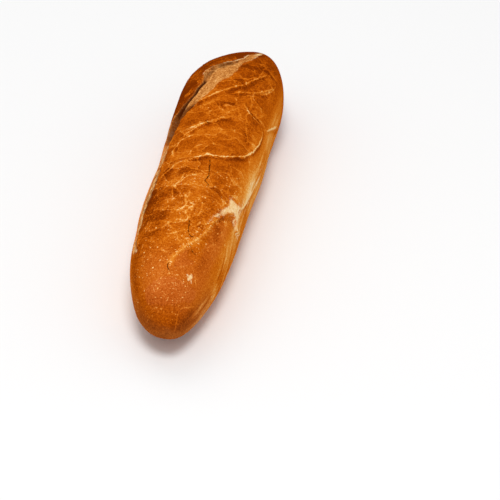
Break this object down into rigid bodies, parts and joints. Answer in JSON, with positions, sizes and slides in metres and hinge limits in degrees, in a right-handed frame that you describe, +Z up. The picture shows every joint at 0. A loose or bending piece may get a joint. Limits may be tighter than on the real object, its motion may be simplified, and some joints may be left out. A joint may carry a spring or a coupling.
{
  "type": "short baguette",
  "caption": "Whole short baguette with rounded ends, a long open slash along one flank, overlapping crust scales on the crown and a flat sole to rest on.",
  "frame": {"origin": "on the sole, below the middle of the loaf's bounding box", "axes": "+X along the loaf towards its narrower end, +Z up from the sole, -Y towards the flank with the long slash"},
  "size_m": [0.256, 0.0594, 0.0511],
  "materials": {
    "crust": "baked golden-brown crust, satin, with dull tan crumb in the slash"
  },
  "bodies": {
    "root": {"loaf": "crust"}
  },
  "joints": []
}
